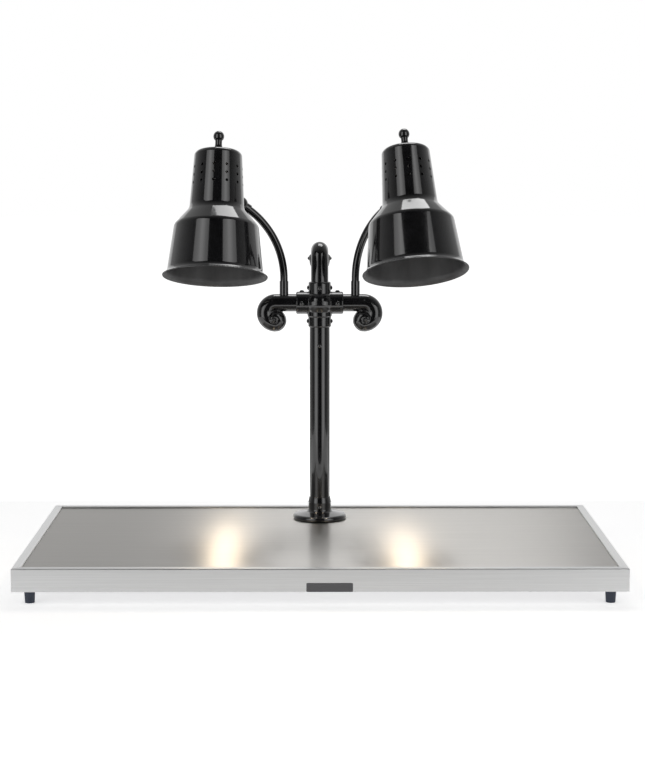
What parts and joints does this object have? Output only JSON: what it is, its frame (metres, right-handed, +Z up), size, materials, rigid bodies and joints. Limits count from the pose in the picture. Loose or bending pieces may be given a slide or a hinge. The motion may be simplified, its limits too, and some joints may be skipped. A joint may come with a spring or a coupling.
{
  "type": "food warming station",
  "caption": "Countertop food-warming station: a low heated metal base on rubber feet with a black post, scroll castings and bell-shaped heat lamps on curved arms.",
  "frame": {"origin": "middle of the footprint on the table, under the rubber feet", "axes": "+Z up, -Y towards the front rail, +X to the right seen from the front"},
  "size_m": [0.914, 0.5121, 0.7019],
  "materials": {
    "rail": "satin",
    "deck": "brushed",
    "plate_blank": "satin",
    "plain_steel": "plain",
    "zinc": "zinc plated",
    "black_enamel": "gloss",
    "black_casting": "gloss over casting",
    "foot_rubber": "matt",
    "heater_rubber": "satin",
    "wool": "matt",
    "bakelite": "satin",
    "ceramic": "glazed",
    "black_nylon": "fine grain",
    "wire": "satin",
    "bulb_glass": "frosted",
    "brass": "plain"
  },
  "bodies": {
    "base": {"frame_front": "rail", "frame_right": "rail", "frame_rear": "rail", "frame_left": "rail", "deck_plate": "deck", "bottom_plate": "plain_steel", "bottom_screws": "zinc", "rubber_feet": "foot_rubber", "foot_screws": "zinc", "label_plate": "plate_blank", "heater_left": "heater_rubber", "heater_right": "heater_rubber", "insulation": "wool", "thermostat": "bakelite", "terminal_block": "ceramic", "cord_bushing": "black_nylon", "lamp_switch_housing": "black_nylon", "base_switch_housing": "black_nylon", "backing_plate": "plain_steel", "flange_bolts": "zinc", "post_flange": "black_casting", "flange_set_screws": "black_enamel", "post_tube": "black_enamel", "post_dome_screw": "black_enamel", "post_wiring": "wire", "hub": "black_casting", "hub_set_screws": "black_enamel", "scroll_left": "black_casting", "scroll_right": "black_casting", "scroll_top": "black_casting", "left_arm_sleeve": "black_enamel", "right_arm_sleeve": "black_enamel"},
    "left_arm": {"left_arm_tube": "black_enamel", "left_ball_cup": "black_enamel"},
    "left_swivel": {"left_ball_stud": "zinc", "left_stud_nut": "zinc"},
    "left_lamp": {"left_saddle": "black_enamel", "left_shade": "black_enamel", "left_vent_cap": "black_enamel", "left_finial": "black_enamel", "left_washer": "black_enamel", "left_yoke": "zinc", "left_lampholder": "ceramic", "left_bulb_glass": "bulb_glass", "left_bulb_base": "brass"},
    "right_arm": {"right_arm_tube": "black_enamel", "right_ball_cup": "black_enamel"},
    "right_swivel": {"right_ball_stud": "zinc", "right_stud_nut": "zinc"},
    "right_lamp": {"right_saddle": "black_enamel", "right_shade": "black_enamel", "right_vent_cap": "black_enamel", "right_finial": "black_enamel", "right_washer": "black_enamel", "right_yoke": "zinc", "right_lampholder": "ceramic", "right_bulb_glass": "bulb_glass", "right_bulb_base": "brass"},
    "lamp_rocker": {"lamp_rocker": "black_nylon"},
    "base_rocker": {"base_rocker": "black_nylon"}
  },
  "joints": [
    {"name": "left_arm_turn", "type": "hinge", "parent": "base", "child": "left_arm", "pos_m": [-0.059, 0.15, 0.436], "axis": [0, 0, 1], "range_deg": [-30, 30]},
    {"name": "left_lamp_tilt", "type": "hinge", "parent": "left_arm", "child": "left_swivel", "pos_m": [-0.1295, 0.13719, 0.5794], "axis": [0.7632, -0.6269, 0.1567], "range_deg": [-20, 18]},
    {"name": "left_lamp_twist", "type": "hinge", "parent": "left_swivel", "child": "left_lamp", "pos_m": [-0.1295, 0.13719, 0.5794], "axis": [-0.6459, -0.7325, 0.2153], "range_deg": [-35, 35]},
    {"name": "right_arm_turn", "type": "hinge", "parent": "base", "child": "right_arm", "pos_m": [0.059, 0.15, 0.436], "axis": [0, 0, 1], "range_deg": [-12, 45]},
    {"name": "right_lamp_tilt", "type": "hinge", "parent": "right_arm", "child": "right_swivel", "pos_m": [0.11508, 0.1054, 0.5794], "axis": [0.8677, 0.4849, -0.1093], "range_deg": [-20, 18]},
    {"name": "right_lamp_twist", "type": "hinge", "parent": "right_swivel", "child": "right_lamp", "pos_m": [0.11508, 0.1054, 0.5794], "axis": [0.4921, -0.8066, 0.3274], "range_deg": [-35, 35]},
    {"name": "lamp_switch", "type": "hinge", "parent": "base", "child": "lamp_rocker", "pos_m": [0.296, 0.252, 0.0375], "axis": [1, 0, 0], "range_deg": [-20, 0]},
    {"name": "base_switch", "type": "hinge", "parent": "base", "child": "base_rocker", "pos_m": [0.33, 0.252, 0.0375], "axis": [1, 0, 0], "range_deg": [-20, 0]}
  ]
}
